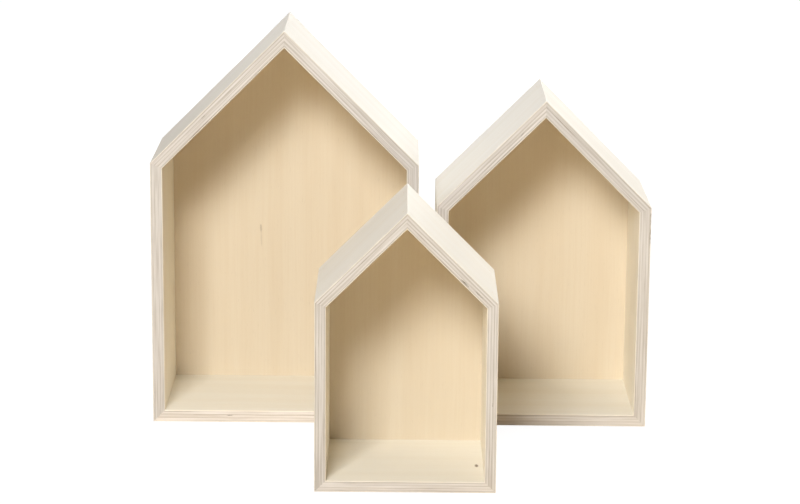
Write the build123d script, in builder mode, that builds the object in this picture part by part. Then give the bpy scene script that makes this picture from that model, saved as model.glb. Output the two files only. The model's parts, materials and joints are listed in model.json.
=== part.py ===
from build123d import *
import math
import os
from dataclasses import dataclass

# A set of three house-shaped plywood wall shelves, in millimetres, with +Z up.
# Every house is a ring of five mitred boards, open at the front, round a thin
# back let into a rebate. They stand as a family: large and medium side by side,
# small in front. The origin is on the surface that they stand on, at the middle
# of the ground that they cover, and the open fronts face -Y.

# Large house
large_width = 200.0
large_height = 300.0
large_board = 9.0

# Medium house
medium_width = 160.0
medium_height = 250.0
medium_board = 9.0

# Small house
small_width = 127.0
small_height = 200.0
small_board = 8.0

# Shared by the three houses
depth = 100.0
roof_angle = 45.0
edge_ease = 0.4

# Where the houses stand
rear_gap = 13.5
medium_lead = 3.0
small_lead = 163.0
small_shift = 4.5

# Thin back and the rebate that it lies in
back_thickness = 3.0
rebate_width = 4.5
back_clearance = 0.2

# Flat wire brads driven through the mitres, set under the face and filled over
corner_brad_width = 1.25
corner_brad_thickness = 1.05
corner_brad_length = 20.0
corner_brad_inset = 18.0
corner_brad_set = 1.0

# Shorter brads that hold the back against its ledge, flush with the back's rear face
back_brad_width = 1.25
back_brad_thickness = 1.05
back_brad_length = 10.0
back_brad_spacing = 70.0

# Toothed steel hanger across the gable, nailed through the back into both roof boards
hanger_length = 46.0
hanger_height = 9.0
hanger_thickness = 0.8
hanger_hole_spacing = 38.0
hanger_raised_length = 27.0
hanger_rise = 1.2
hanger_bend_run = 1.5
hanger_corner = 1.5
tooth_pitch = 3.0
tooth_depth = 1.6

# Flat-headed nails of the hanger
nail_diameter = 1.4
nail_length = 13.0
nail_head_diameter = 3.2
nail_head_thickness = 0.7

# Room round a brad or nail in the wood, and how sharp its point is
pilot_clearance = 0.05
point_angle = 40.0

# Corners of a house are counted from the lower left, anticlockwise seen from the front
FLOOR_LEFT, FLOOR_RIGHT, EAVE_RIGHT, RIDGE, EAVE_LEFT = range(5)
BOARDS = {
    "floor": (FLOOR_LEFT, FLOOR_RIGHT),
    "right_wall": (FLOOR_RIGHT, EAVE_RIGHT),
    "right_roof": (EAVE_RIGHT, RIDGE),
    "left_roof": (RIDGE, EAVE_LEFT),
    "left_wall": (EAVE_LEFT, FLOOR_LEFT),
}
HANGER_SIDE = {"left_roof": -1, "right_roof": 1}

slope = math.radians(roof_angle)


@dataclass
class House:
    """One shelf, its own sizes and the place of its front edges."""

    name: str
    width: float
    height: float
    board: float
    centre_x: float
    front_y: float

    @property
    def rear_y(self):
        """Plane of the rear edges, which lies against a wall."""
        return self.front_y + depth

    @property
    def ledge_middle(self):
        """How far the middle of the ledge behind the back lies from the outside."""
        return self.board - rebate_width / 2


def outline(house, inset):
    """Corners of the front view, moved inwards by inset, as (x, z) from the middle."""
    half = house.width / 2 - inset
    ridge = house.height - inset / math.cos(slope)
    eave = ridge - half * math.tan(slope)
    return [(-half, inset), (half, inset), (half, eave), (0, ridge), (-half, eave)]


def upright_plane(house, behind_front):
    """Plane that faces the front, a distance behind the house's front edges."""
    origin = (house.centre_x, house.front_y + behind_front, 0)
    return Plane(origin=origin, x_dir=(1, 0, 0), z_dir=(0, -1, 0))


def corner_brad_planes(house, corner):
    """Tops of the two brads at a corner, each facing back out of the wood."""
    half_board = house.board / 2
    if corner in (FLOOR_LEFT, FLOOR_RIGHT):
        outward, reach = (0, -1), half_board
    elif corner == RIDGE:
        outward = (-math.cos(slope), math.sin(slope))
        reach = half_board / math.sin(2 * slope)
    else:
        outward, reach = (0, 1), half_board / math.cos(slope)
    x, z = outline(house, half_board)[corner]
    x += outward[0] * (reach - corner_brad_set)
    z += outward[1] * (reach - corner_brad_set)
    facing = (outward[0], 0, outward[1])
    return [
        Plane(origin=(house.centre_x + x, y, z), x_dir=(0, 1, 0), z_dir=facing)
        for y in (house.front_y + corner_brad_inset, house.rear_y - corner_brad_inset)
    ]


def hanger_nail_height(house):
    """Height at which the hanger's holes lie over the ledges of both roof boards."""
    ridge_z = outline(house, house.ledge_middle)[RIDGE][1]
    return ridge_z - hanger_hole_spacing / 2 * math.tan(slope)


def hanger_nail_plane(house, side):
    """Underside of a nail's head, on the hanger's left (-1) or right (1) ear."""
    x = house.centre_x + side * hanger_hole_spacing / 2
    origin = (x, house.rear_y + hanger_thickness, hanger_nail_height(house))
    return Plane(origin=origin, z_dir=(0, 1, 0))


def nailed_run(house, name):
    """Line along a board's ledge that its back brads share.

    The hanger's nails go through the back as well, so on a roof board the line
    starts from the nail and not from the ridge.
    """
    line = outline(house, house.ledge_middle)
    start, end = BOARDS[name]
    side = HANGER_SIDE.get(name, 0)
    line[RIDGE] = (side * hanger_hole_spacing / 2, hanger_nail_height(house))
    return line[start], line[end]


def back_brad_planes(house, name):
    """Tops of the brads that hold the back along one board, on its rear face."""
    (x0, z0), (x1, z1) = nailed_run(house, name)
    count = max(1, round(math.dist((x0, z0), (x1, z1)) / back_brad_spacing))
    planes = []
    for number in range(count):
        share = (number + 0.5) / count
        x, z = x0 + (x1 - x0) * share, z0 + (z1 - z0) * share
        origin = (house.centre_x + x, house.rear_y, z)
        planes.append(Plane(origin=origin, x_dir=(1, 0, 0), z_dir=(0, 1, 0)))
    return planes


def cut_slot(width, thickness, length):
    """Cut the slot that a brad makes, down from its top, at every place in use."""
    room = 2 * pilot_clearance
    Box(
        width + room,
        thickness + room,
        length,
        align=(Align.CENTER, Align.CENTER, Align.MAX),
        mode=Mode.SUBTRACT,
    )


def make_board(house, name):
    """One board of the ring: mitred ends, a rebate behind, eased front edges, slots for brads."""
    start, end = BOARDS[name]
    outer = outline(house, 0)
    inner = outline(house, house.board)
    ledge = outline(house, house.board - rebate_width)
    with BuildPart() as board:
        with BuildSketch(upright_plane(house, 0)):
            with BuildLine():
                Polyline(outer[start], outer[end], inner[end], inner[start], close=True)
            make_face()
        extrude(amount=-(depth - back_thickness))
        with BuildSketch(upright_plane(house, depth - back_thickness)):
            with BuildLine():
                Polyline(outer[start], outer[end], ledge[end], ledge[start], close=True)
            make_face()
        extrude(amount=-back_thickness)
        front_face = board.faces().sort_by(Axis.Y)[0]
        fillet(front_face.edges().sort_by(SortBy.LENGTH)[-2:], radius=edge_ease)
        with Locations(*corner_brad_planes(house, start), *corner_brad_planes(house, end)):
            cut_slot(corner_brad_width, corner_brad_thickness, corner_brad_length)
        with Locations(*back_brad_planes(house, name)):
            cut_slot(back_brad_width, back_brad_thickness, back_brad_length)
        if name in HANGER_SIDE:
            with Locations(hanger_nail_plane(house, HANGER_SIDE[name])):
                Hole(radius=nail_diameter / 2 + pilot_clearance, depth=nail_length)
    return board.part


def make_back_panel(house):
    """Thin back, a loose fit in the rebates and flush with the rear edges."""
    corners = outline(house, house.board - rebate_width + back_clearance)
    with BuildPart() as back_panel:
        with BuildSketch(upright_plane(house, depth - back_thickness)):
            with BuildLine():
                Polyline(*corners, close=True)
            make_face()
        extrude(amount=-back_thickness)
        for name in BOARDS:
            with Locations(*back_brad_planes(house, name)):
                cut_slot(back_brad_width, back_brad_thickness, back_brad_length)
        with Locations(*[hanger_nail_plane(house, side) for side in HANGER_SIDE.values()]):
            Hole(radius=nail_diameter / 2 + pilot_clearance, depth=nail_length)
    return back_panel.part


def make_brad(width, thickness, length):
    """Flat wire brad that hangs down from the origin to its chisel point."""
    half = width / 2
    shoulder = half / math.tan(math.radians(point_angle / 2)) - length
    with BuildPart() as brad:
        with BuildSketch(Plane.XZ):
            with BuildLine():
                Polyline((-half, 0), (-half, shoulder), (0, -length), (half, shoulder), (half, 0), close=True)
            make_face()
        extrude(amount=thickness / 2, both=True)
    return brad.part


def make_nail():
    """Nail whose flat head stands on the origin, with its shank below."""
    shank = nail_diameter / 2
    head = nail_head_diameter / 2
    shoulder = shank / math.tan(math.radians(point_angle / 2)) - nail_length
    with BuildPart() as nail:
        with BuildSketch(Plane.XZ):
            with BuildLine():
                Polyline(
                    (0, nail_head_thickness),
                    (0, -nail_length),
                    (shank, shoulder),
                    (shank, 0),
                    (head, 0),
                    (head, nail_head_thickness),
                    close=True,
                )
            make_face()
        revolve(axis=Axis.Z)
    return nail.part


def make_corner_brads(house):
    """The brads of all five mitres."""
    brad = make_brad(corner_brad_width, corner_brad_thickness, corner_brad_length)
    with BuildPart() as corner_brads:
        for corner in range(len(BOARDS)):
            with Locations(*corner_brad_planes(house, corner)):
                add(brad)
    return corner_brads.part


def make_back_brads(house):
    """The brads round the edge of the back."""
    brad = make_brad(back_brad_width, back_brad_thickness, back_brad_length)
    with BuildPart() as back_brads:
        for name in BOARDS:
            with Locations(*back_brad_planes(house, name)):
                add(brad)
    return back_brads.part


def make_hanger(house):
    """Steel strip with two flat ears, a raised middle and teeth along its lower edge."""
    half_length = hanger_length / 2
    half_raised = hanger_raised_length / 2
    bend_foot = half_raised + hanger_bend_run
    nail_z = hanger_nail_height(house)
    lower_edge = nail_z - hanger_height / 2
    tooth_count = int(hanger_raised_length // tooth_pitch)
    with BuildPart() as hanger:
        with BuildSketch(Plane(origin=(house.centre_x, house.rear_y, lower_edge))):
            with BuildLine():
                Polyline(
                    (-half_length, 0),
                    (-bend_foot, 0),
                    (-half_raised, hanger_rise),
                    (half_raised, hanger_rise),
                    (bend_foot, 0),
                    (half_length, 0),
                )
                offset(amount=hanger_thickness, side=Side.LEFT)
            make_face()
        extrude(amount=hanger_height)
        ends = hanger.faces().filter_by(Axis.X).sort_by(Axis.X)
        ear_corners = (ends[0].edges() + ends[-1].edges()).filter_by(Axis.Y)
        fillet(ear_corners, radius=hanger_corner)
        with Locations(*[hanger_nail_plane(house, side) for side in HANGER_SIDE.values()]):
            Hole(radius=nail_diameter / 2 + pilot_clearance)
        with BuildSketch(Plane(origin=(house.centre_x, house.rear_y, lower_edge), x_dir=(1, 0, 0), z_dir=(0, -1, 0))):
            with GridLocations(tooth_pitch, 0, tooth_count, 1):
                Polygon((-tooth_pitch / 2, 0), (tooth_pitch / 2, 0), (0, tooth_depth), align=None)
        extrude(amount=-(hanger_rise + 2 * hanger_thickness), mode=Mode.SUBTRACT)
    return hanger.part


def make_hanger_nails(house):
    """The two nails of the hanger."""
    nail = make_nail()
    with BuildPart() as hanger_nails:
        with Locations(*[hanger_nail_plane(house, side) for side in HANGER_SIDE.values()]):
            add(nail)
    return hanger_nails.part


def save(part, name):
    """Label a finished piece and write it to its own file."""
    part.label = name
    export_step(part, f"parts/{name}.step")


set_width = large_width + rear_gap + medium_width
set_depth = small_lead + depth + hanger_rise + hanger_thickness
small_front = -set_depth / 2
large_front = small_front + small_lead
houses = [
    House("large", large_width, large_height, large_board, (large_width - set_width) / 2, large_front),
    House(
        "medium",
        medium_width,
        medium_height,
        medium_board,
        (set_width - medium_width) / 2,
        large_front - medium_lead,
    ),
    House("small", small_width, small_height, small_board, small_shift, small_front),
]

os.makedirs("parts", exist_ok=True)
for house in houses:
    for board_name in BOARDS:
        save(make_board(house, board_name), f"{house.name}_{board_name}")
    save(make_back_panel(house), f"{house.name}_back_panel")
    save(make_corner_brads(house), f"{house.name}_corner_brads")
    save(make_back_brads(house), f"{house.name}_back_brads")
    save(make_hanger(house), f"{house.name}_hanger")
    save(make_hanger_nails(house), f"{house.name}_hanger_nails")
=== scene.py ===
"""Looks of a set of three house-shaped plywood wall shelves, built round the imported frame.

Every board is modelled as its maker would cut it: a strip of plywood with mitred ends, a
rebate behind, eased edges and the small voids of its plies. All sizes are in metres.
"""

import json
import logging
import math
from collections.abc import Callable, Sequence
from dataclasses import dataclass
from enum import Enum

import bmesh
import bpy
from mathutils import Matrix, Vector

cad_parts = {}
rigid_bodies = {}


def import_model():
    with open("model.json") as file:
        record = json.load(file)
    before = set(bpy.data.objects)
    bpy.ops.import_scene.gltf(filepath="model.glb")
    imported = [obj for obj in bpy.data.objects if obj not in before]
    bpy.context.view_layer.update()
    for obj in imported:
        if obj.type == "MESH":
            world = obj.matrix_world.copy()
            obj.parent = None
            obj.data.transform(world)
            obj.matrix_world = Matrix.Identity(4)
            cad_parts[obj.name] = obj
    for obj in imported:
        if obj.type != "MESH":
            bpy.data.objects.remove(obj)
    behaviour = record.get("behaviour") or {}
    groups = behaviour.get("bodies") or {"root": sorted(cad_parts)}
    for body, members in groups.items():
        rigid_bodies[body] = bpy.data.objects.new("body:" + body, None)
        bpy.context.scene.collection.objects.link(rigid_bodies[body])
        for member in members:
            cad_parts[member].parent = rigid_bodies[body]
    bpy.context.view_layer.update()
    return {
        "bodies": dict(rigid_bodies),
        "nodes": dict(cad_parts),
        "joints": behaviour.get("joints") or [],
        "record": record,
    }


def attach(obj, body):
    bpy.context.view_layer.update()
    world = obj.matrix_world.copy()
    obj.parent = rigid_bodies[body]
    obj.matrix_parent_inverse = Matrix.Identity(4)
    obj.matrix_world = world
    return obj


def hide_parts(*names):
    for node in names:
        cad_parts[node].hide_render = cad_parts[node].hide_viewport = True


log = logging.getLogger("house_shelves")

MM = 0.001
ROOF_SLOPE = math.radians(45.0)
SMOOTH_ANGLE = math.radians(30.0)
WELD_DISTANCE = 1e-6
TOUCH = 1e-5
PLACE_ATTRIBUTE = "board_place"
# each board's tone together with its painted light and shade
TONE_AND_SHADE_ATTRIBUTE = "board_tone_and_shade"
SEED_STEP = 1.7
# painted shade round a void reaches this much further than the void
VOID_SHADE_SPREAD = 1.4
WOOD_SPECULAR = 0.3
FLOOR_BOUNCE = (0.9, 0.75, 0.53)
FLOOR_SHADOW = (0.12, 0.12, 0.12)
FILL_STRENGTH = 0.015

Colour = tuple[float, float, float]


def from_srgb(red: int, green: int, blue: int) -> Colour:
    """Turn a colour of 0 to 255 as seen on a screen into the linear one of a shader.

    Args:
        red: Red as seen.
        green: Green as seen.
        blue: Blue as seen.

    Returns:
        The linear colour, each part from 0 to 1.
    """
    return tuple(
        part / 12.92 if part <= 0.04045 else ((part + 0.055) / 1.055) ** 2.4
        for part in (red / 255, green / 255, blue / 255)
    )


class Role(Enum):
    """A board of a house, by its name and the corners that it runs between."""

    FLOOR = ("floor", 0, 1)
    RIGHT_WALL = ("right_wall", 1, 2)
    RIGHT_ROOF = ("right_roof", 2, 3)
    LEFT_ROOF = ("left_roof", 3, 4)
    LEFT_WALL = ("left_wall", 4, 0)

    @property
    def title(self) -> str:
        """Name of the board within its house."""
        return self.value[0]

    @property
    def start(self) -> int:
        """Corner where the board starts."""
        return self.value[1]

    @property
    def end(self) -> int:
        """Corner where the board ends."""
        return self.value[2]


# Mesh work


def deselect_all() -> None:
    """Clear the selection, so that an operator acts only on what is picked next."""
    bpy.ops.object.select_all(action="DESELECT")


def make_active(piece: bpy.types.Object) -> None:
    """Select one object alone and make it the active one.

    Args:
        piece: Object to work on.
    """
    deselect_all()
    piece.select_set(True)
    bpy.context.view_layer.objects.active = piece


def apply_place(piece: bpy.types.Object) -> None:
    """Move an object's place, turn and scale into its mesh.

    Args:
        piece: Object whose origin ends at the middle of the row.
    """
    make_active(piece)
    bpy.ops.object.transform_apply(location=True, rotation=True, scale=True)


def apply_modifier(piece: bpy.types.Object, modifier: bpy.types.Modifier) -> None:
    """Make a modifier's result the object's own mesh.

    Args:
        piece: Object that holds the modifier.
        modifier: Modifier to apply.
    """
    make_active(piece)
    bpy.ops.object.modifier_apply(modifier=modifier.name)


def add_block(name: str, low: Sequence[float], high: Sequence[float]) -> bpy.types.Object:
    """Add a rectangular block between two corners.

    Args:
        name: Name of the new object.
        low: Its lowest corner.
        high: Its highest corner.

    Returns:
        The block, with its place in its mesh.
    """
    deselect_all()
    middle = [(a + b) / 2 for a, b in zip(low, high)]
    size = [b - a for a, b in zip(low, high)]
    bpy.ops.mesh.primitive_cube_add(size=1, location=middle, scale=size)
    block = bpy.context.active_object
    block.name = name
    block.data.name = name
    apply_place(block)
    return block


def add_lump(name: str, middle: Sequence[float], reach: Sequence[float]) -> bpy.types.Object:
    """Add a small ragged ellipsoid, the shape of a gap in a ply.

    Args:
        name: Name of the new object.
        middle: Its middle.
        reach: Half of its size along each axis.

    Returns:
        The lump, with its place in its mesh.
    """
    deselect_all()
    bpy.ops.mesh.primitive_ico_sphere_add(subdivisions=2, radius=1.0, location=middle, scale=reach)
    lump = bpy.context.active_object
    lump.name = name
    apply_place(lump)
    bpy.ops.object.mode_set(mode="EDIT")
    bpy.ops.mesh.select_all(action="SELECT")
    seed = int(middle[0] / MM) % 97
    bpy.ops.transform.vertex_random(offset=0.15 * min(reach), uniform=1.0, normal=0.0, seed=seed)
    bpy.ops.object.mode_set(mode="OBJECT")
    return lump


def remove_piece(piece: bpy.types.Object) -> None:
    """Delete a helper object.

    Args:
        piece: Object that isn't needed any more.
    """
    make_active(piece)
    bpy.ops.object.delete()


def give_finish(piece: bpy.types.Object, material: bpy.types.Material) -> None:
    """Make a material the only one of a piece.

    Args:
        piece: Piece or node.
        material: Its finish.
    """
    piece.data.materials.clear()
    piece.data.materials.append(material)


class Bench:
    """A workbench: one object in edit mode, whose faces are picked by place."""

    def __init__(self, piece: bpy.types.Object) -> None:
        """Take an object to the bench.

        Args:
            piece: Mesh object to shape.
        """
        self.piece = piece

    def __enter__(self) -> "Bench":
        """Open the object's mesh with nothing selected."""
        make_active(self.piece)
        bpy.ops.object.mode_set(mode="EDIT")
        bpy.ops.mesh.select_all(action="DESELECT")
        return self

    def __exit__(self, *_: object) -> None:
        """Close the mesh."""
        bpy.ops.object.mode_set(mode="OBJECT")

    def pick_all(self) -> None:
        """Select the whole mesh."""
        bpy.ops.mesh.select_all(action="SELECT")

    def pick_faces(self, test: Callable[[Vector, Vector], bool]) -> int:
        """Select the faces that pass a test of their middle and normal.

        Args:
            test: Says whether a face with this middle and normal is wanted.

        Returns:
            How many faces are selected.
        """
        bpy.ops.mesh.select_all(action="DESELECT")
        bpy.ops.mesh.select_mode(type="FACE")
        mesh = bmesh.from_edit_mesh(self.piece.data)
        for face in mesh.faces:
            face.select_set(test(face.calc_center_median(), face.normal))
        bmesh.update_edit_mesh(self.piece.data)
        return sum(face.select for face in mesh.faces)

    def bisect(self, point: Sequence[float], normal: Sequence[float], cut_off: bool) -> None:
        """Cut the whole mesh along a plane.

        Args:
            point: A point of the plane.
            normal: Its normal.
            cut_off: Whether the part on the normal's side goes and the cut is closed.
        """
        self.pick_all()
        bpy.ops.mesh.bisect(
            plane_co=point, plane_no=Vector(normal).normalized(), use_fill=cut_off, clear_outer=cut_off
        )

    def extrude(self, way: Sequence[float]) -> None:
        """Extrude what is selected.

        Args:
            way: How far it goes.
        """
        bpy.ops.mesh.extrude_region_move(TRANSFORM_OT_translate={"value": tuple(way)})

    def tidy(self) -> None:
        """Merge doubled points and turn all faces outwards."""
        self.pick_all()
        bpy.ops.mesh.remove_doubles(threshold=WELD_DISTANCE)
        bpy.ops.mesh.normals_make_consistent(inside=False)


# Sizes


@dataclass(frozen=True)
class HouseSizes:
    """Sizes and place of one house, as the frame has them."""

    name: str
    body: str
    width: float
    height: float
    board: float
    centre_x: float
    front_y: float
    depth: float = 100 * MM
    back_thickness: float = 3 * MM
    rebate_width: float = 4.5 * MM
    front_ease: float = 0.4 * MM

    def corner(self, number: int, inset: float = 0.0) -> Vector:
        """A corner of the front view, moved inwards.

        Args:
            number: Corner, from the lower left and anticlockwise.
            inset: How far it lies inside the outline.

        Returns:
            The corner on the house's front plane, in the row frame.
        """
        half = self.width / 2 - inset
        ridge = self.height - inset / math.cos(ROOF_SLOPE)
        eave = ridge - half * math.tan(ROOF_SLOPE)
        x, z = ((-half, inset), (half, inset), (half, eave), (0.0, ridge), (-half, eave))[number]
        return Vector((self.centre_x + x, self.front_y, z))


LARGE = HouseSizes("large", "large_house", 200 * MM, 300 * MM, 9 * MM, -86.75 * MM, 30.5 * MM)
MEDIUM = HouseSizes("medium", "medium_house", 160 * MM, 250 * MM, 9 * MM, 106.75 * MM, 27.5 * MM)
SMALL = HouseSizes("small", "small_house", 127 * MM, 200 * MM, 8 * MM, 4.5 * MM, -132.5 * MM)


# Materials


class Nodes:
    """A small hand for wiring shader nodes."""

    def __init__(self, tree: bpy.types.NodeTree) -> None:
        """Start with an empty node tree.

        Args:
            tree: Tree of a material, world or group.
        """
        self.tree = tree
        tree.nodes.clear()

    def add(self, kind: str, inputs: dict | None = None, **settings: object) -> bpy.types.Node:
        """Add a node, set it and wire its inputs.

        Args:
            kind: Node type.
            inputs: Socket name or number, and the value or the output that feeds it.
            **settings: Properties of the node.

        Returns:
            The node.
        """
        node = self.tree.nodes.new(kind)
        for key, value in settings.items():
            setattr(node, key, value)
        for key, value in (inputs or {}).items():
            self.feed(node.inputs[key], value)
        return node

    def feed(self, socket: bpy.types.NodeSocket, value: object) -> None:
        """Give an input a value, or wire an output to it.

        Args:
            socket: Input socket.
            value: A number, colour or vector, an output socket, or a node's first output.
        """
        if isinstance(value, bpy.types.Node):
            value = value.outputs[0]
        if isinstance(value, bpy.types.NodeSocket):
            self.tree.links.new(value, socket)
        elif socket.type == "RGBA":
            socket.default_value = (*value[:3], 1.0)
        else:
            socket.default_value = value

    def math(self, operation: str, *values: object, clamp: bool = False) -> bpy.types.NodeSocket:
        """Calculate with numbers.

        Args:
            operation: Name of the operation.
            *values: Its inputs in order.
            clamp: Whether the result is held between 0 and 1.

        Returns:
            The result.
        """
        node = self.add("ShaderNodeMath", dict(enumerate(values)), operation=operation, use_clamp=clamp)
        return node.outputs[0]

    def vector(self, operation: str, first: object, second: object) -> bpy.types.NodeSocket:
        """Calculate with two vectors.

        Args:
            operation: Name of the operation.
            first: First vector.
            second: Second vector, or the factor of SCALE.

        Returns:
            The resulting vector.
        """
        key = "Scale" if operation == "SCALE" else 1
        return self.add("ShaderNodeVectorMath", {0: first, key: second}, operation=operation).outputs[0]

    def share(self, value: object, low: float, high: float, most: float) -> bpy.types.NodeSocket:
        """Ramp a number from 0 to a given most, as ramp does to 1."""
        return self.math("MULTIPLY", self.ramp(value, low, high), most)

    def ramp(self, value: object, low: float, high: float) -> bpy.types.NodeSocket:
        """Rise smoothly from 0 at low to 1 at high, or fall where high is below low.

        Args:
            value: Number that is ramped.
            low: Where the result is 0.
            high: Where the result is 1.

        Returns:
            The ramped number.
        """
        node = self.add(
            "ShaderNodeMapRange",
            {"Value": value, "From Min": low, "From Max": high},
            interpolation_type="SMOOTHSTEP",
        )
        return node.outputs[0]

    def scaled(self, vector: object, scale: Sequence[float]) -> bpy.types.NodeSocket:
        """Scale a vector along each axis.

        Args:
            vector: Vector output.
            scale: Factor along each axis.

        Returns:
            The scaled vector.
        """
        return self.vector("MULTIPLY", vector, tuple(scale))

    def noise(self, vector: object, scale: float = 1.0, detail: float = 2.0, **more: float) -> bpy.types.NodeSocket:
        """Noise from 0 to 1 round one half.

        Args:
            vector: Place.
            scale: Scale of the noise.
            detail: Octaves.
            **more: Other inputs of the noise, by name.

        Returns:
            The value of the noise.
        """
        inputs = {"Vector": vector, "Scale": scale, "Detail": detail, **{k.title(): v for k, v in more.items()}}
        return self.add("ShaderNodeTexNoise", inputs).outputs[0]

    def mix(self, share: object, first: object, second: object, blend: str = "MIX") -> bpy.types.NodeSocket:
        """Mix two colours.

        Args:
            share: Share of the second.
            first: First colour.
            second: Second colour.
            blend: How they are mixed.

        Returns:
            The mixed colour.
        """
        node = self.add("ShaderNodeMix", {0: share, 6: first, 7: second}, data_type="RGBA", blend_type=blend)
        return node.outputs[2]

    def brighten(self, colour: object, factor: object) -> bpy.types.NodeSocket:
        """Make a colour lighter or darker.

        Args:
            colour: Colour to change.
            factor: Factor for each of its parts.

        Returns:
            The changed colour.
        """
        return self.vector("SCALE", colour, factor)

    def looked_at(self) -> bpy.types.NodeSocket:
        """Say whether a ray comes from the eye, straight, in a reflection or through glass."""
        path = self.add("ShaderNodeLightPath").outputs
        seen = self.math("ADD", path["Is Camera Ray"], path["Is Glossy Ray"])
        return self.math("ADD", seen, path["Is Transmission Ray"], clamp=True)

    def finish(self, **inputs: object) -> None:
        """End a material with a Principled shader.

        Args:
            **inputs: Its inputs by name, with _ for each space.
        """
        named = {title.replace("_", " "): value for title, value in inputs.items()}
        self.add("ShaderNodeOutputMaterial", {"Surface": self.add("ShaderNodeBsdfPrincipled", named)})

    def group(self, tree: bpy.types.NodeTree, inputs: dict) -> bpy.types.Node:
        """Place a node group.

        Args:
            tree: Group to place.
            inputs: Values for its sockets.

        Returns:
            The group's node.
        """
        node = self.tree.nodes.new("ShaderNodeGroup")
        node.node_tree = tree
        for key, value in inputs.items():
            self.feed(node.inputs[key], value)
        return node


def new_material(name: str) -> tuple[bpy.types.Material, Nodes]:
    """Start a material.

    Args:
        name: Its name.

    Returns:
        The material and the hand that wires it.
    """
    material = bpy.data.materials.new(name)
    material.use_nodes = True
    return material, Nodes(material.node_tree)


def new_group(name: str, inputs: dict[str, tuple[str, float]], outputs: Sequence[str]) -> tuple:
    """Start a shader node group.

    Args:
        name: Its name.
        inputs: Name of each input, with its socket type and its starting value.
        outputs: Names of the outputs, all of them plain numbers.

    Returns:
        The group, the hand that wires it, the node of its inputs and a function that
        wires one of its outputs.
    """
    tree = bpy.data.node_groups.new(name, "ShaderNodeTree")
    for title, (kind, value) in inputs.items():
        socket = tree.interface.new_socket(title, in_out="INPUT", socket_type=kind)
        if kind == "NodeSocketFloat":
            socket.default_value = value
    for title in outputs:
        tree.interface.new_socket(title, in_out="OUTPUT", socket_type="NodeSocketFloat")
    nodes = Nodes(tree)
    source = nodes.add("NodeGroupInput")
    sink = nodes.add("NodeGroupOutput")
    return tree, nodes, source.outputs, lambda title, value: nodes.feed(sink.inputs[title], value)


NUMBER = "NodeSocketFloat"
VECTOR = "NodeSocketVector"


def make_grain_group() -> bpy.types.NodeTree:
    """Grain of a veneer, whose fibres run along the first axis of its place.

    Returns:
        The group: Fibre is fine and Band broad, both from 0 to 1, Fleck marks the short
        dark pores, and Tone wanders slowly over a whole board.
    """
    inputs = {
        "Place": (VECTOR, 0.0),
        "Fibre Width": (NUMBER, 0.5 * MM),
        "Band Width": (NUMBER, 7 * MM),
        "Wander": (NUMBER, 1.5 * MM),
    }
    tree, nodes, given, give = new_group("veneer_grain", inputs, ("Fibre", "Band", "Fleck", "Tone"))
    place = given["Place"]
    # the grain wanders sideways slowly as it runs along the board
    slow = nodes.add("ShaderNodeTexNoise", {"Vector": nodes.scaled(place, (9, 5, 5)), "Scale": 1.0, "Detail": 1.0})
    shift = nodes.vector("SUBTRACT", slow.outputs["Color"], (0.5, 0.5, 0.5))
    shift = nodes.vector("MULTIPLY", shift, (0, 1, 1))
    shift = nodes.vector("SCALE", shift, given["Wander"])
    place = nodes.vector("ADD", place, shift)

    def streaks(width: object, stretch: float, detail: float) -> bpy.types.NodeSocket:
        """Noise drawn out along the grain, as wide as given."""
        drawn = nodes.scaled(place, (1 / stretch, 1, 1))
        size = nodes.math("DIVIDE", 0.5, width)
        drawn = nodes.vector("SCALE", drawn, size)
        return nodes.noise(drawn, 1.0, detail, roughness=0.55)

    give("Fibre", streaks(given["Fibre Width"], 45, 3.0))
    give("Band", streaks(given["Band Width"], 22, 2.0))
    pores = streaks(nodes.math("MULTIPLY", given["Fibre Width"], 0.55), 9, 1.0)
    give("Fleck", nodes.ramp(pores, 0.66, 0.78))
    give("Tone", nodes.noise(nodes.scaled(given["Place"], (2.3, 6, 6)), 1.0, 1.0))
    return tree


def make_plies_group() -> bpy.types.NodeTree:
    """Plies of a plywood board, counted from its outer face.

    Returns:
        The group: Cross marks the plies that show end grain at the front edge, Glue the
        thin lines between plies, Skin the outer veneers, and Number counts the plies.
    """
    inputs = {
        "Place": (VECTOR, 0.0),
        "Board": (NUMBER, 9 * MM),
        "Veneer": (NUMBER, 0.5 * MM),
        "Inner Plies": (NUMBER, 7.0),
        "Waviness": (NUMBER, 0.25 * MM),
    }
    tree, nodes, given, give = new_group("plies", inputs, ("Cross", "Glue", "Skin", "Number"))
    deep = nodes.add("ShaderNodeSeparateXYZ", {0: given["Place"]}).outputs["Z"]
    wave = nodes.noise(nodes.scaled(given["Place"], (38, 20, 150)), 1.0, 2.0)
    wave = nodes.math("MULTIPLY", nodes.math("SUBTRACT", wave, 0.5), given["Waviness"])
    deep = nodes.math("ADD", deep, wave)
    core = nodes.math("SUBTRACT", given["Board"], nodes.math("MULTIPLY", given["Veneer"], 2.0))
    ply = nodes.math("DIVIDE", core, given["Inner Plies"])
    count = nodes.math("DIVIDE", nodes.math("SUBTRACT", deep, given["Veneer"]), ply)
    count = nodes.math("MINIMUM", nodes.math("MAXIMUM", count, -0.5), nodes.math("ADD", given["Inner Plies"], 0.5))
    swing = nodes.math("PINGPONG", nodes.math("ADD", count, 0.5), 1.0)
    give("Cross", nodes.ramp(swing, 0.54, 0.76))
    border = nodes.math("ABSOLUTE", nodes.math("SUBTRACT", swing, 0.5))
    give("Glue", nodes.ramp(border, 0.09, 0.02))
    below = nodes.ramp(count, 0.05, -0.05)
    above = nodes.ramp(nodes.math("SUBTRACT", count, given["Inner Plies"]), -0.05, 0.05)
    give("Skin", nodes.math("ADD", below, above))
    give("Number", nodes.math("FLOOR", nodes.math("ADD", count, 1.0)))
    return tree


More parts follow.
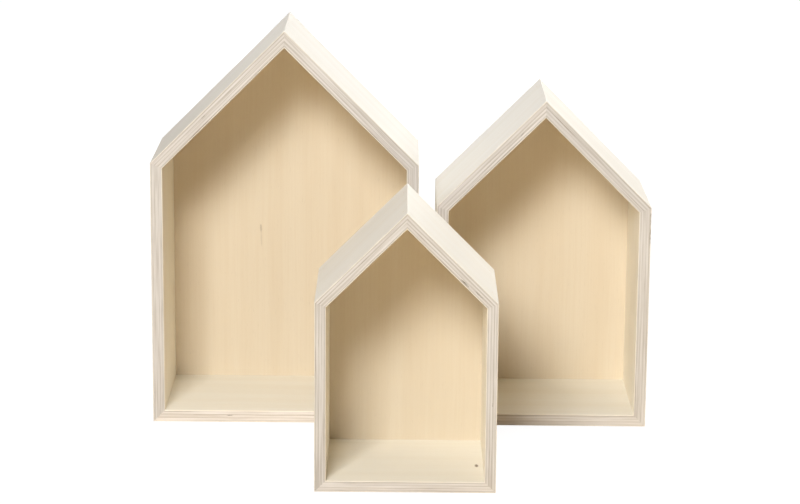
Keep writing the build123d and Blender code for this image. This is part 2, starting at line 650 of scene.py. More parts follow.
def make_mark_group() -> bpy.types.NodeTree:
    """A knot, a streak or the painted shade of a void: an ellipse with a ragged edge.

    Returns:
        The group, whose Mark is 1 in the middle of the ellipse and 0 outside it.
    """
    inputs = {
        "Place": (VECTOR, 0.0),
        "Middle": (VECTOR, 0.0),
        "Reach": (VECTOR, 0.0),
        "Lean": (NUMBER, 0.0),
        "Ragged": (NUMBER, 0.5),
    }
    tree, nodes, given, give = new_group("knot_mark", inputs, ("Mark",))
    away = nodes.vector("SUBTRACT", given["Place"], given["Middle"])
    parts = nodes.add("ShaderNodeSeparateXYZ", {0: away}).outputs
    leant = nodes.math("SUBTRACT", parts["Y"], nodes.math("MULTIPLY", parts["X"], given["Lean"]))
    away = nodes.add("ShaderNodeCombineXYZ", {0: parts["X"], 1: leant, 2: parts["Z"]})
    share = nodes.vector("DIVIDE", away, given["Reach"])
    far = nodes.add("ShaderNodeVectorMath", {0: share}, operation="LENGTH").outputs["Value"]
    rag = nodes.noise(nodes.scaled(given["Place"], (500, 1800, 1800)), 1.0, 2.0)
    far = nodes.math("ADD", far, nodes.math("MULTIPLY", nodes.math("SUBTRACT", rag, 0.5), given["Ragged"]))
    give("Mark", nodes.ramp(far, 1.0, 0.35))
    return tree


def make_metal_group() -> bpy.types.NodeTree:
    """Handled sheet metal and wire.

    Returns:
        The group: Cloud is a soft uneven tarnish, Scratch fine straight scratches, both
        from 0 to 1.
    """
    tree, nodes, given, give = new_group("handled_metal", {"Place": (VECTOR, 0.0)}, ("Cloud", "Scratch"))
    give("Cloud", nodes.noise(nodes.scaled(given["Place"], (420, 420, 420)), 1.0, 4.0))
    give("Scratch", nodes.noise(nodes.scaled(given["Place"], (160, 160, 9000)), 1.0, 3.0))
    return tree


@dataclass(frozen=True)
class Mark:
    """A knot or streak in a veneer, or the painted shade of a void, in the place that its finish follows."""

    middle: tuple[float, float, float]
    reach: tuple[float, float, float]
    strength: float
    lean: float = 0.0


@dataclass
class Effects:
    """The node groups that the finishes share."""

    grain: bpy.types.NodeTree
    plies: bpy.types.NodeTree
    mark: bpy.types.NodeTree
    metal: bpy.types.NodeTree

    @classmethod
    def make(cls) -> "Effects":
        """Build every shared group once."""
        return cls(make_grain_group(), make_plies_group(), make_mark_group(), make_metal_group())

    def add_marks(
        self, nodes: Nodes, place: object, marks: Sequence[Mark], colour: object, mark_colour: Colour
    ) -> bpy.types.NodeSocket:
        """Lay knots, streaks and the painted shade of voids over a veneer's colour.

        Args:
            nodes: Hand that wires the material.
            place: Place that the veneer follows.
            marks: The knots, streaks and painted shade of voids.
            colour: Colour under them.
            mark_colour: Their own colour.

        Returns:
            The colour with its marks.
        """
        for mark in marks:
            inputs = {"Place": place, "Middle": mark.middle, "Reach": mark.reach, "Lean": mark.lean}
            found = nodes.group(self.mark, inputs)
            colour = nodes.mix(nodes.math("MULTIPLY", found, mark.strength), colour, mark_colour)
        return colour


@dataclass(frozen=True)
class BoardPlywood:
    """Pale sanded plywood of the frame, whose plies show at the cut edges."""

    name: str
    board: float
    veneer: float = 0.5 * MM
    depth: float = 100 * MM
    face: Colour = from_srgb(243, 238, 228)
    face_dark: Colour = from_srgb(236, 227, 211)
    # painted shade: a warm tint on the inner faces, for light bounced round inside
    inner_shade_tint: Colour = (1.0, 0.99, 0.945)
    skin: Colour = from_srgb(238, 229, 214)
    long_ply: Colour = from_srgb(223, 217, 211)
    cross_ply: Colour = from_srgb(191, 182, 171)
    dark_ply: Colour = from_srgb(150, 131, 113)
    glue: Colour = from_srgb(176, 157, 136)
    knot: Colour = from_srgb(104, 80, 58)
    roughness: float = 0.62
    marks: tuple[Mark, ...] = ()

    def make(self, effects: Effects) -> bpy.types.Material:
        """Wire the material.

        Args:
            effects: The shared node groups.

        Returns:
            The plywood.
        """
        material, nodes = new_material(self.name)
        place = nodes.add("ShaderNodeAttribute", attribute_name=PLACE_ATTRIBUTE).outputs["Vector"]
        tone_and_shade = nodes.add("ShaderNodeAttribute", attribute_name=TONE_AND_SHADE_ATTRIBUTE).outputs["Vector"]
        tone_and_shade = nodes.add("ShaderNodeSeparateXYZ", {0: tone_and_shade}).outputs
        parts = nodes.add("ShaderNodeSeparateXYZ", {0: place}).outputs
        back, deep = parts["Y"], parts["Z"]
        grain = nodes.group(effects.grain, {"Place": place}).outputs
        plies = nodes.group(effects.plies, {"Place": place, "Board": self.board, "Veneer": self.veneer}).outputs
        # veneer faces
        broad = nodes.share(grain["Band"], 0.3, 0.75, 0.4)
        face = nodes.mix(broad, self.face, self.face_dark)
        fine = nodes.share(grain["Fibre"], 0.4, 0.8, 0.3)
        face = nodes.mix(fine, face, self.face_dark)
        face = nodes.mix(nodes.math("MULTIPLY", grain["Fleck"], 0.07), face, self.knot)
        # painted shade: the inner faces are warmed a little, for the warm light that bounces round inside the house
        is_inner = nodes.ramp(deep, 0.45 * self.board, 0.55 * self.board)
        face = nodes.mix(is_inner, face, nodes.mix(1.0, face, self.inner_shade_tint, blend="MULTIPLY"))
        # cut edges: crosswise plies show darker end grain, in stretches darker still
        lines = tone_and_shade["Z"]
        shift = nodes.add("ShaderNodeCombineXYZ", {0: nodes.math("MULTIPLY", plies["Number"], 7.3)})
        along = nodes.add("ShaderNodeVectorMath", {0: nodes.scaled(place, (24, 3, 0)), 1: shift}).outputs[0]
        stretch = nodes.noise(along, 1.0, 3.0)
        speckle = nodes.noise(nodes.scaled(place, (2200, 2200, 2200)), 1.0, 2.0)
        long_grain = nodes.mix(nodes.ramp(grain["Fibre"], 0.35, 0.8), self.long_ply, self.cross_ply)
        mood = nodes.add("ShaderNodeVectorMath", {0: nodes.scaled(place, (4, 0, 0)), 1: shift}).outputs[0]
        mood = nodes.ramp(nodes.noise(mood, 1.0, 1.0), 0.36, 0.62)
        lines = nodes.math("MULTIPLY", lines, nodes.math("ADD", nodes.math("MULTIPLY", mood, 0.8), 0.2))
        share = nodes.math("MULTIPLY", plies["Cross"], lines)
        edge = nodes.mix(share, long_grain, self.cross_ply)
        dark = nodes.share(stretch, 0.48, 0.72, 0.8)
        dark = nodes.math("ADD", dark, nodes.share(speckle, 0.45, 0.8, 0.35))
        edge = nodes.mix(nodes.math("MULTIPLY", dark, share, clamp=True), edge, self.dark_ply)
        glue = nodes.math("MULTIPLY", plies["Glue"], nodes.ramp(stretch, 0.62, 0.38))
        glue = nodes.math("MULTIPLY", glue, nodes.math("MULTIPLY", lines, 0.55))
        edge = nodes.mix(glue, edge, self.glue)
        edge = nodes.mix(nodes.math("MULTIPLY", plies["Skin"], 0.85), edge, self.skin)
        from_rear = nodes.math("SUBTRACT", self.depth, back)
        is_edge = nodes.ramp(nodes.math("MINIMUM", back, from_rear), 0.45 * MM, 0.15 * MM)
        # painted light and shade: each board's face and edge factors brighten or darken it, partly for its wood's
        # own tone
        face = nodes.brighten(face, tone_and_shade["Y"])
        edge = nodes.brighten(edge, tone_and_shade["X"])
        colour = nodes.mix(is_edge, face, edge)
        # knots, and the painted shade of the voids, in the knots' colour
        colour = effects.add_marks(nodes, place, self.marks, colour, self.knot)
        # relief of the fibres, and of the plies at the edges
        relief = nodes.math("MULTIPLY", grain["Fibre"], 0.5)
        relief = nodes.math("SUBTRACT", relief, nodes.math("MULTIPLY", grain["Fleck"], 0.5))
        sunk = nodes.math("MULTIPLY", nodes.math("MULTIPLY", plies["Cross"], is_edge), speckle)
        relief = nodes.math("SUBTRACT", relief, sunk)
        bump = nodes.add("ShaderNodeBump", {"Height": relief, "Strength": 0.35, "Distance": 0.06 * MM})
        rough = nodes.math("ADD", nodes.math("MULTIPLY", grain["Fibre"], 0.12), self.roughness)
        nodes.finish(Base_Color=colour, Roughness=rough, Normal=bump, Specular_IOR_Level=WOOD_SPECULAR)
        return material


@dataclass(frozen=True)
class BackPlywood:
    """Thin plywood of the backs, with upright grain."""

    name: str
    shade: float = 1.0
    face: Colour = from_srgb(228, 213, 188)
    face_dark: Colour = from_srgb(221, 202, 173)
    knot: Colour = from_srgb(120, 88, 58)
    roughness: float = 0.6
    marks: tuple[Mark, ...] = ()

    def make(self, effects: Effects) -> bpy.types.Material:
        """Wire the material.

        Args:
            effects: The shared node groups.

        Returns:
            The plywood.
        """
        material, nodes = new_material(self.name)
        place = nodes.add("ShaderNodeTexCoord").outputs["Object"]
        parts = nodes.add("ShaderNodeSeparateXYZ", {0: place}).outputs
        place = nodes.add("ShaderNodeCombineXYZ", {0: parts["Z"], 1: parts["X"], 2: parts["Y"]}).outputs[0]
        inputs = {"Place": place, "Fibre Width": 0.6 * MM, "Band Width": 9 * MM, "Wander": 3 * MM}
        grain = nodes.group(effects.grain, inputs).outputs
        broad = nodes.share(grain["Band"], 0.3, 0.75, 0.45)
        colour = nodes.mix(broad, self.face, self.face_dark)
        fine = nodes.share(grain["Fibre"], 0.3, 0.8, 0.35)
        colour = nodes.mix(fine, colour, self.face_dark)
        colour = nodes.mix(nodes.math("MULTIPLY", grain["Fleck"], 0.07), colour, self.knot)
        colour = nodes.brighten(colour, self.shade)
        colour = effects.add_marks(nodes, place, self.marks, colour, self.knot)
        relief = nodes.math("SUBTRACT", grain["Fibre"], grain["Fleck"])
        bump = nodes.add("ShaderNodeBump", {"Height": relief, "Strength": 0.3, "Distance": 0.06 * MM})
        rough = nodes.math("ADD", nodes.math("MULTIPLY", grain["Fibre"], 0.12), self.roughness)
        nodes.finish(Base_Color=colour, Roughness=rough, Normal=bump, Specular_IOR_Level=WOOD_SPECULAR)
        return material


@dataclass(frozen=True)
class SteelFinish:
    """Bare or zinc-plated steel of the small hardware."""

    name: str
    colour: Colour
    tarnish: Colour
    roughness: float

    def make(self, effects: Effects) -> bpy.types.Material:
        """Wire the material.

        Args:
            effects: The shared node groups.

        Returns:
            The steel.
        """
        material, nodes = new_material(self.name)
        place = nodes.add("ShaderNodeTexCoord").outputs["Object"]
        worn = nodes.group(effects.metal, {"Place": place}).outputs
        colour = nodes.mix(nodes.ramp(worn["Cloud"], 0.35, 0.75), self.colour, self.tarnish)
        rough = nodes.math("ADD", nodes.math("MULTIPLY", worn["Cloud"], 0.25), self.roughness)
        bump = nodes.add("ShaderNodeBump", {"Height": worn["Scratch"], "Strength": 0.25, "Distance": 0.02 * MM})
        nodes.finish(Base_Color=colour, Roughness=rough, Normal=bump, Metallic=1.0)
        return material


@dataclass(frozen=True)
class FillerFinish:
    """Wood filler that was pressed over the brads and sanded."""

    name: str = "wood_filler"
    colour: Colour = from_srgb(226, 205, 170)
    dust: Colour = from_srgb(240, 226, 202)

    def make(self, effects: Effects) -> bpy.types.Material:
        """Wire the material.

        Args:
            effects: The shared node groups.

        Returns:
            The filler.
        """
        material, nodes = new_material(self.name)
        place = nodes.add("ShaderNodeTexCoord").outputs["Object"]
        worn = nodes.group(effects.metal, {"Place": place}).outputs
        grit = nodes.noise(nodes.scaled(place, (3000, 3000, 3000)), 1.0, 3.0)
        colour = nodes.mix(nodes.ramp(grit, 0.35, 0.7), self.colour, self.dust)
        rough = nodes.math("ADD", nodes.math("MULTIPLY", worn["Cloud"], 0.15), 0.7)
        bump = nodes.add("ShaderNodeBump", {"Height": grit, "Strength": 0.4, "Distance": 0.05 * MM})
        nodes.finish(Base_Color=colour, Roughness=rough, Normal=bump)
        return material


@dataclass
class Studio:
    """Camera, lamps, floor and surroundings."""

    eye: Vector
    pitch: float = math.radians(13.41)
    roll: float = math.radians(0.485)
    lens: float = 116.42
    sensor: float = 36.0

    def set_camera(self) -> None:
        """Put the camera where the picture was taken from."""
        data = bpy.data.cameras.new("camera")
        data.lens = self.lens
        data.sensor_width = self.sensor
        data.clip_start, data.clip_end = 0.05, 50.0
        camera = bpy.data.objects.new("camera", data)
        bpy.context.scene.collection.objects.link(camera)
        tilt = Matrix.Rotation(math.pi / 2 - self.pitch, 4, "X")
        camera.matrix_world = Matrix.Translation(self.eye) @ tilt @ Matrix.Rotation(self.roll, 4, "Z")
        bpy.context.scene.camera = camera

    def set_floor(self) -> None:
        """Lay a plain pale floor."""
        deselect_all()
        bpy.ops.mesh.primitive_circle_add(vertices=96, radius=9.0, fill_type="NGON", location=(0, 0, -0.0002))
        floor = bpy.context.active_object
        floor.name = "studio_floor"
        material = bpy.data.materials.new("studio_floor")
        material.use_nodes = True
        nodes = Nodes(material.node_tree)
        plain = nodes.add("ShaderNodeBsdfDiffuse", {"Color": FLOOR_BOUNCE})
        faint = nodes.add("ShaderNodeBsdfDiffuse", {"Color": FLOOR_SHADOW})
        middle = nodes.add("ShaderNodeTexCoord").outputs["Object"]
        away = nodes.add("ShaderNodeVectorMath", {0: middle}, operation="LENGTH").outputs["Value"]
        strength = nodes.math("ADD", nodes.share(away, 0.4, 1.1, 0.06), 0.94)
        glow = nodes.add("ShaderNodeEmission", {"Color": (1, 1, 1), "Strength": strength})
        seen = nodes.add("ShaderNodeAddShader", {0: faint, 1: glow})
        both = nodes.add("ShaderNodeMixShader", {0: nodes.looked_at(), 1: plain, 2: seen})
        nodes.add("ShaderNodeOutputMaterial", {"Surface": both})
        floor.data.materials.append(material)

    def set_world(self) -> None:
        """Light all round, and show white behind."""
        world = bpy.data.worlds.new("studio")
        bpy.context.scene.world = world
        world.use_nodes = True
        nodes = Nodes(world.node_tree)
        fill = nodes.add("ShaderNodeBackground", {"Color": (1, 1, 1), "Strength": FILL_STRENGTH})
        white = nodes.add("ShaderNodeBackground", {"Color": (1, 1, 1), "Strength": 1.0})
        both = nodes.add("ShaderNodeMixShader", {0: nodes.looked_at(), 1: fill, 2: white})
        nodes.add("ShaderNodeOutputWorld", {"Surface": both})

    def add_lamp(
        self,
        name: str,
        azimuth: float,
        elevation: float,
        distance: float,
        size: tuple[float, float],
        strength: float,
        colour: Colour = (1.0, 1.0, 1.0),
    ) -> None:
        """Add a soft box that faces the middle of the set.

        Args:
            name: Name of the lamp.
            azimuth: Degrees to the left of the camera, as the object's front sees it.
            elevation: Degrees above the floor.
            distance: Distance from the middle of the set.
            size: Width and height of the soft box.
            strength: Irradiance that it gives at the set, over pi, so 1 renders a colour as written.
            colour: Colour of its light.
        """
        data = bpy.data.lights.new(name, "AREA")
        data.color = colour
        data.shape = "RECTANGLE"
        data.size, data.size_y = size
        # an area lamp of power P gives P / (pi * area) of radiance towards its front
        solid_angle = size[0] * size[1] / distance**2
        data.energy = strength * math.pi * (math.pi * size[0] * size[1]) / solid_angle
        lamp = bpy.data.objects.new(name, data)
        bpy.context.scene.collection.objects.link(lamp)
        a, e = math.radians(azimuth), math.radians(elevation)
        away = Vector((-math.sin(a) * math.cos(e), -math.cos(a) * math.cos(e), math.sin(e)))
        target = Vector((0.0, 0.03, 0.13))
        lamp.location = target + away * distance
        lamp.rotation_euler = away.to_track_quat("Z", "Y").to_euler()

    def set_lamps(self) -> None:
        """Hang the lamps."""
        self.add_lamp("key_lamp", 14.0, 33.4, 2.0, (0.63, 0.52), 0.845, (0.97, 1.0, 1.03))
        self.add_lamp("side_lamp", 255.0, 38.0, 2.0, (0.8, 1.3), 0.55)
        self.add_lamp("top_lamp", 285.0, 65.0, 2.0, (0.8, 0.7), 0.18)
        self.add_lamp("left_lamp", 60.0, 30.0, 2.0, (1.0, 1.0), 0.08, (1.0, 0.72, 0.45))
        self.add_lamp("rear_lamp", 180.0, 4.5, 2.0, (1.2, 0.4), 0.45)

    def set_view(self) -> None:
        """Show colours as they are written."""
        bpy.context.scene.view_settings.view_transform = "Standard"

    def build(self) -> None:
        """Set up everything round the object."""
        self.set_view()
        self.set_camera()
        self.set_floor()
        self.set_world()
        self.set_lamps()


@dataclass(frozen=True)
class Void:
    """A small gap or chip in the plies, open at a cut edge, in a board's own frame."""

    middle: tuple[float, float, float]
    reach: tuple[float, float, float]

    @classmethod
    def in_mm(cls, middle: Sequence[float], reach: Sequence[float]) -> "Void":
        """Make a void whose middle and reach are given in millimetres."""
        return cls(tuple(part * MM for part in middle), tuple(part * MM for part in reach))


@dataclass(frozen=True)
class Tone:
    """How a board's colour differs from the rest: partly its wood's own tone, partly painted light and shade.

    Edge and face are factors on the colour of the cut edges and of the veneer faces, fitted to each board's
    brightness in place, so that part of them is painted light and shade: the large floor's bright front edge is
    painted light thrown up by the floor, and the darker faces of the large and medium left roofs are painted shade.
    Lines is a factor on how strongly the plies stand out.
    """

    edge: float = 1.0
    face: float = 1.0
    lines: float = 1.0


@dataclass(frozen=True)
class BradSizes:
    """Flat wire brads of the mitres, which are set under the face and filled over."""

    width: float = 1.25 * MM
    thickness: float = 1.05 * MM
    inset: float = 18 * MM
    set_depth: float = 1.0 * MM
    filler_sunk: float = 0.05 * MM


@dataclass
class Board:
    """One board of a house's ring, cut and shaped in its own frame.

    In that frame x runs along the board from its first corner, y goes back from the
    front edge, and z goes from the outer face to the inner one.
    """

    house: HouseSizes
    role: Role
    seed: int
    tone_and_shade: Tone = Tone()
    voids: tuple[Void, ...] = ()
    brads: BradSizes = BradSizes()
    rear_ease: float = 0.3 * MM
    inner_ease: float = 0.12 * MM
    mitre_ease: float = 0.1 * MM

    @property
    def name(self) -> str:
        """Name of the frame's node that the board stands for."""
        return f"{self.house.name}_{self.role.title}"

    @property
    def length(self) -> float:
        """Length along the outer face."""
        return (self.house.corner(self.role.end) - self.house.corner(self.role.start)).length

    def placement(self) -> Matrix:
        """Turn and place that take the board from its own frame to the row frame."""
        start, end = self.house.corner(self.role.start), self.house.corner(self.role.end)
        along = (end - start).normalized()
        back = Vector((0, 1, 0))
        inward = along.cross(back)
        turn = Matrix((along, back, inward)).transposed().to_4x4()
        return Matrix.Translation(start) @ turn

    def mitre(self, corner: int) -> tuple[Vector, Vector]:
        """Plane of a mitre, in the board's own frame.

        Args:
            corner: Corner of the house.

        Returns:
            A point of the plane and the normal that points out of the board.
        """
        to_board = self.placement().inverted()
        outer = to_board @ self.house.corner(corner)
        inner = to_board @ self.house.corner(corner, self.house.board)
        normal = (inner - outer).normalized().cross(Vector((0, 1, 0)))
        if (normal.x > 0) != (corner == self.role.end):
            normal = -normal
        return outer, normal

    def brad_places(self) -> list[Vector]:
        """Where brads enter this board's outer face, in its own frame."""
        to_board = self.placement().inverted()
        half = self.house.board / 2
        places = []
        for corner, (role, way) in BRAD_WAYS.items():
            if role is not self.role:
                continue
            middle = to_board @ self.house.corner(corner, half)
            way = to_board.to_3x3() @ Vector(way)
            middle += way * (middle.z / -way.z)
            places += [Vector((middle.x, y, 0)) for y in (self.brads.inset, self.house.depth - self.brads.inset)]
        return places

    def build(self) -> bpy.types.Object:
        """Cut the board to shape.

        Returns:
            The finished board, in place.
        """
        sizes = self.house
        thickness, depth = sizes.board, sizes.depth
        ledge_z = thickness - sizes.rebate_width
        step_y = depth - sizes.back_thickness
        piece = add_block(f"{self.name}_board", (0, 0, 0), (self.length, step_y, thickness))
        with Bench(piece) as bench:
            bench.bisect((0, 0, ledge_z), (0, 0, 1), cut_off=False)
            bench.pick_faces(lambda middle, normal: normal.y > 0.9 and middle.z < ledge_z)
            bench.extrude((0, sizes.back_thickness, 0))
            for corner in (self.role.start, self.role.end):
                point, normal = self.mitre(corner)
                bench.bisect(point, normal, cut_off=True)
            bench.tidy()
        self.ease_edges(piece)
        self.cut_voids(piece)
        self.smooth(piece)
        self.note_place(piece)
        piece.matrix_world = self.placement()
        apply_place(piece)
        return piece

    def edge_ease(self, first: Vector, second: Vector) -> float:
        """Width by which an edge is eased.

        Args:
            first: One end of the edge, in the board's frame.
            second: Its other end.

        Returns:
            The width, or 0 for an edge that stays sharp.
        """
        sizes = self.house
        middle = (first + second) / 2
        outer = abs(middle.z) < TOUCH
        inner = abs(middle.z - sizes.board) < TOUCH
        front = abs(middle.y) < TOUCH
        rear = abs(middle.y - sizes.depth) < TOUCH
        if abs(first.x - second.x) > self.length / 2:
            if front:
                return sizes.front_ease if outer or inner else 0.0
            if rear:
                return self.rear_ease if outer else self.inner_ease
            return self.inner_ease if inner else 0.0
        return self.mitre_ease if outer or front else 0.0

    def ease_edges(self, piece: bpy.types.Object) -> None:
        """Ease the long edges and, by a hair, the edges of the mitres.

        Args:
            piece: The board, in its own frame.
        """
        widest = self.house.front_ease
        mesh = piece.data
        weights = mesh.attributes.new("bevel_weight_edge", "FLOAT", "EDGE")
        for edge in mesh.edges:
            first, second = (mesh.vertices[i].co for i in edge.vertices)
            weights.data[edge.index].value = self.edge_ease(first, second) / widest
        bevel = piece.modifiers.new("eased", "BEVEL")
        bevel.limit_method = "WEIGHT"
        bevel.width = widest
        bevel.segments = 3
        bevel.use_clamp_overlap = False
        apply_modifier(piece, bevel)

    def cut_voids(self, piece: bpy.types.Object) -> None:
        """Open the gaps of the plies and the brads' slots.

        Args:
            piece: The board, in its own frame.
        """
        brads = self.brads
        cutters = [add_lump(f"void_{number}", void.middle, void.reach) for number, void in enumerate(self.voids)]
        for number, place in enumerate(self.brad_places()):
            half = Vector((brads.thickness / 2, brads.width / 2, brads.set_depth))
            cutters.append(add_block(f"slot_{number}", place - half, place + half))
        for cutter in cutters:
            cut = piece.modifiers.new("cut", "BOOLEAN")
            cut.operation = "DIFFERENCE"
            cut.solver = "EXACT"
            cut.object = cutter
            apply_modifier(piece, cut)
            remove_piece(cutter)

    def smooth(self, piece: bpy.types.Object) -> None:
        """Shade the eased edges smooth and keep the faces flat.

        Args:
            piece: The board, in its own frame.
        """
        make_active(piece)
        bpy.ops.object.shade_smooth_by_angle(angle=SMOOTH_ANGLE)
        normals = piece.modifiers.new("flat_faces", "WEIGHTED_NORMAL")
        normals.keep_sharp = True
        apply_modifier(piece, normals)

    def note_place(self, piece: bpy.types.Object) -> None:
        """Keep each point's place on the board, and the board's factors of tone and of painted light and shade,
        which the plywood follows.

        Args:
            piece: The board, in its own frame.
        """
        for name in (PLACE_ATTRIBUTE, TONE_AND_SHADE_ATTRIBUTE):
            piece.data.attributes.new(name, "FLOAT_VECTOR", "POINT")
        places = piece.data.attributes[PLACE_ATTRIBUTE]
        tones_and_shades = piece.data.attributes[TONE_AND_SHADE_ATTRIBUTE]
        shift = self.seed * SEED_STEP
        for vertex in piece.data.vertices:
            places.data[vertex.index].vector = (vertex.co.x + shift, vertex.co.y, vertex.co.z)
            tones_and_shades.data[vertex.index].vector = (self.tone_and_shade.edge, self.tone_and_shade.face, self.tone_and_shade.lines)

    def make_fillers(self) -> list[bpy.types.Object]:
        """Model the wood filler over each brad of this board.

        Returns:
            The fillers, in place.
        """
        brads = self.brads
        fillers = []
        for place in self.brad_places():
            low = place + Vector((-brads.thickness / 2, -brads.width / 2, brads.filler_sunk))
            high = place + Vector((brads.thickness / 2, brads.width / 2, brads.set_depth))
            filler = add_block("filler", low, high)
            with Bench(filler) as bench:
                bench.pick_faces(lambda middle, normal: normal.z < -0.9)
                bpy.ops.mesh.inset(thickness=0.25 * MM, depth=-0.06 * MM)
            filler.matrix_world = self.placement()
            apply_place(filler)
            fillers.append(filler)
        return fillers

    def dress(self, piece: bpy.types.Object, material: bpy.types.Material) -> None:
        """Give the board its finish and tie it to the frame.

        Args:
            piece: The board.
            material: Its plywood.
        """
        give_finish(piece, material)
        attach(piece, self.house.body)
        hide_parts(self.name)
        log.info("board %s: %d faces", piece.name, len(piece.data.polygons))


# Which board each corner's brads enter, and the way that they point out of it
BRAD_WAYS = {
    0: (Role.FLOOR, (0, 0, -1)),
    1: (Role.FLOOR, (0, 0, -1)),
    2: (Role.RIGHT_ROOF, (0, 0, 1)),
    3: (Role.LEFT_ROOF, (-math.cos(ROOF_SLOPE), 0, math.sin(ROOF_SLOPE))),
    4: (Role.LEFT_ROOF, (0, 0, 1)),
}


@dataclass
class Finishes:
    """All materials of the set."""

    boards: dict[str, bpy.types.Material]
    backs: dict[str, bpy.types.Material]
    brad: bpy.types.Material
    hanger: bpy.types.Material
    nail: bpy.types.Material
    filler: bpy.types.Material


@dataclass
class House:
    """One shelf: five mitred boards, the back and the hardware."""

    sizes: HouseSizes
    first_seed: int
    tones_and_shades: dict[Role, Tone]
    voids: dict[Role, tuple[Void, ...]]

    def void_shade_marks(self) -> tuple[Mark, ...]:
        """Painted shade in and round each void: a dark mark in the knots' colour, a little larger than the void, in
        the place that the plywood follows.
        """
        return tuple(
            Mark(
                (void.middle[0] + (self.first_seed + number) * SEED_STEP, *void.middle[1:]),
                tuple(part * VOID_SHADE_SPREAD for part in void.reach),
                0.95,
            )
            for number, role in enumerate(Role)
            for void in self.voids.get(role, ())
        )

    def build(self, frame: dict, finishes: Finishes) -> None:
        """Model the boards and dress the whole house.

        Args:
            frame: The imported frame.
            finishes: The materials.
        """
        fillers = []
        for number, role in enumerate(Role):
            tone_and_shade, voids = self.tones_and_shades.get(role, Tone()), self.voids.get(role, ())
            board = Board(self.sizes, role, self.first_seed + number, tone_and_shade, voids)
            board.dress(board.build(), finishes.boards[self.sizes.name])
            fillers += board.make_fillers()
        self.dress_fillers(fillers, finishes.filler)
        hardware = {
            "back_panel": finishes.backs[self.sizes.name],
            "corner_brads": finishes.brad,
            "back_brads": finishes.brad,
            "hanger": finishes.hanger,
            "hanger_nails": finishes.nail,
        }
        for title, material in hardware.items():
            node = frame["nodes"][f"{self.sizes.name}_{title}"]
            give_finish(node, material)
            log.info("kept node %s", node.name)

    def dress_fillers(self, fillers: list[bpy.types.Object], material: bpy.types.Material) -> None:
        """Join the house's fillers and tie them to the frame.

        Args:
            fillers: The fillers of all its boards.
            material: Their finish.
        """
        deselect_all()
        for filler in fillers:
            filler.select_set(True)
        bpy.context.view_layer.objects.active = fillers[0]
        bpy.ops.object.join()
        joined = bpy.context.active_object
        joined.name = joined.data.name = f"{self.sizes.name}_brad_filler"
        give_finish(joined, material)
        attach(joined, self.sizes.body)
        log.info("filler %s: %d spots", joined.name, len(fillers))


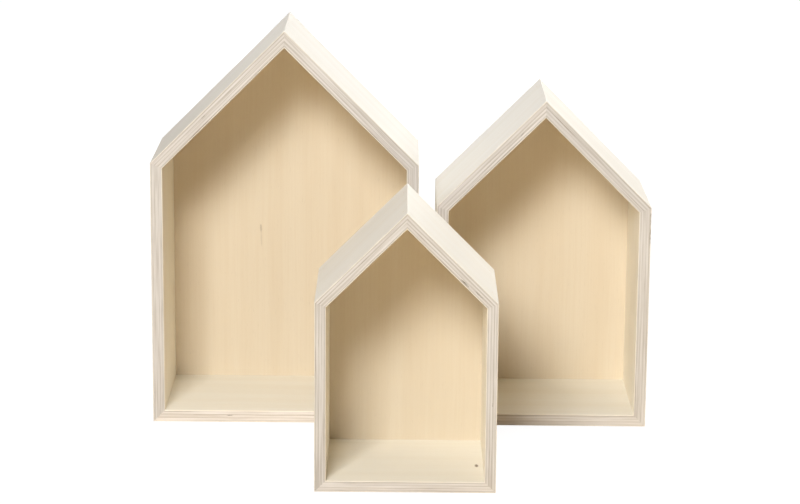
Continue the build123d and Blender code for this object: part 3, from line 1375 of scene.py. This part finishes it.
# Each board's factors are partly its wood's own tone and partly painted light and shade, fitted to its brightness:
# the large floor's front edge at 1.22 is painted light thrown up by the floor, and the large and medium left roofs'
# faces at 0.91 and 0.93 are painted shade.
HOUSES = (
    House(
        LARGE,
        1,
        {
            # painted light: the front edge is brightened for the light thrown up by the floor
            Role.FLOOR: Tone(edge=1.22, lines=0.9),
            Role.RIGHT_WALL: Tone(edge=0.97, lines=0.6),
            Role.RIGHT_ROOF: Tone(edge=0.98, face=0.94, lines=0.75),
            # painted shade on the outer face
            Role.LEFT_ROOF: Tone(edge=1.0, face=0.91),
            Role.LEFT_WALL: Tone(edge=0.96, face=1.06, lines=0.5),
        },
        {
            Role.FLOOR: (Void.in_mm((58.2, 0, 5.3), (2.2, 0.7, 0.3)),),
            Role.RIGHT_WALL: (Void.in_mm((62.0, 100, 2.6), (3.1, 0.8, 0.35)),),
            Role.LEFT_ROOF: (
                Void.in_mm((88.0, 0, 3.3), (1.6, 0.6, 0.28)),
                Void.in_mm((41.0, 100, 3.1), (2.4, 0.9, 0.4)),
            ),
        },
    ),
    House(
        MEDIUM,
        6,
        {
            Role.FLOOR: Tone(edge=1.07),
            Role.RIGHT_WALL: Tone(edge=0.99, face=1.1, lines=0.6),
            Role.RIGHT_ROOF: Tone(edge=0.93, face=0.98, lines=0.9),
            # painted shade on the outer face
            Role.LEFT_ROOF: Tone(edge=1.04, face=0.93),
        },
        {
            Role.RIGHT_WALL: (
                Void.in_mm((161.6, 0.1, 0.2), (3.8, 0.95, 0.75)),
                Void.in_mm((148.0, 0.1, 0.2), (5.2, 0.9, 0.7)),
            ),
            Role.FLOOR: (Void.in_mm((96.0, 100, 2.9), (2.6, 0.8, 0.35)),),
            Role.LEFT_ROOF: (Void.in_mm((30.0, 0, 5.6), (1.4, 0.6, 0.25)),),
        },
    ),
    House(
        SMALL,
        11,
        {
            Role.FLOOR: Tone(edge=1.05, face=0.97),
            Role.RIGHT_WALL: Tone(edge=0.95, face=1.06, lines=0.8),
            Role.RIGHT_ROOF: Tone(edge=0.94, lines=1.25),
            Role.LEFT_ROOF: Tone(edge=0.95, face=1.03, lines=1.25),
            Role.LEFT_WALL: Tone(edge=0.91, lines=0.8),
        },
        {
            Role.RIGHT_ROOF: (
                Void.in_mm((26.9, 0, 6.3), (3.4, 1.3, 0.5)),
                Void.in_mm((14.3, 0, 5.1), (3.0, 1.1, 0.42)),
            ),
            Role.RIGHT_WALL: (Void.in_mm((64.2, 0, 3.2), (1.2, 0.6, 0.3)),),
            Role.LEFT_WALL: (Void.in_mm((51.0, 100, 2.4), (2.0, 0.8, 0.35)),),
        },
    ),
)

# Knots and streaks that show on the veneers: one in the small floor, one in the large back
SMALL_FLOOR_KNOT = Mark((114.4 * MM + 11 * SEED_STEP, 36.9 * MM, 8 * MM), (1.7 * MM, 4.2 * MM, 2.5 * MM), 0.85)
LARGE_BACK_STREAKS = (
    Mark((129.2 * MM, -109.7 * MM, 127.5 * MM), (4.4 * MM, 1.05 * MM, 4 * MM), 0.34, -0.035),
    Mark((120.5 * MM, -109.4 * MM, 127.5 * MM), (8.0 * MM, 0.85 * MM, 4 * MM), 0.14, -0.035),
)


def make_finishes() -> Finishes:
    """Make every material of the set."""
    effects = Effects.make()
    # painted shade of the voids, laid on the plywood with its knots
    large, medium, small = (house.void_shade_marks() for house in HOUSES)
    thick = BoardPlywood("plywood_nine", 9 * MM, marks=large + medium).make(effects)
    thin = BoardPlywood("plywood_eight", 8 * MM, marks=(SMALL_FLOOR_KNOT, *small)).make(effects)
    return Finishes(
        boards={"large": thick, "medium": thick, "small": thin},
        backs={
            "large": BackPlywood("back_plywood_large", 1.03, marks=LARGE_BACK_STREAKS).make(effects),
            "medium": BackPlywood("back_plywood_medium", 1.04).make(effects),
            "small": BackPlywood("back_plywood_small", 0.95).make(effects),
        },
        brad=SteelFinish("brad_steel", (0.60, 0.60, 0.59), (0.42, 0.41, 0.39), 0.3).make(effects),
        hanger=SteelFinish("hanger_steel", (0.50, 0.51, 0.53), (0.36, 0.37, 0.38), 0.4).make(effects),
        nail=SteelFinish("nail_steel", (0.42, 0.42, 0.42), (0.30, 0.30, 0.29), 0.38).make(effects),
        filler=FillerFinish().make(effects),
    )


def main() -> None:
    """Build the set, dress it and light it."""
    logging.basicConfig(level=logging.INFO, format="%(message)s")
    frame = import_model()
    Studio(Vector((-0.35 * MM, -1853.45 * MM, 583.15 * MM))).build()
    finishes = make_finishes()
    for house in HOUSES:
        house.build(frame, finishes)


if __name__ == "__main__":
    main()
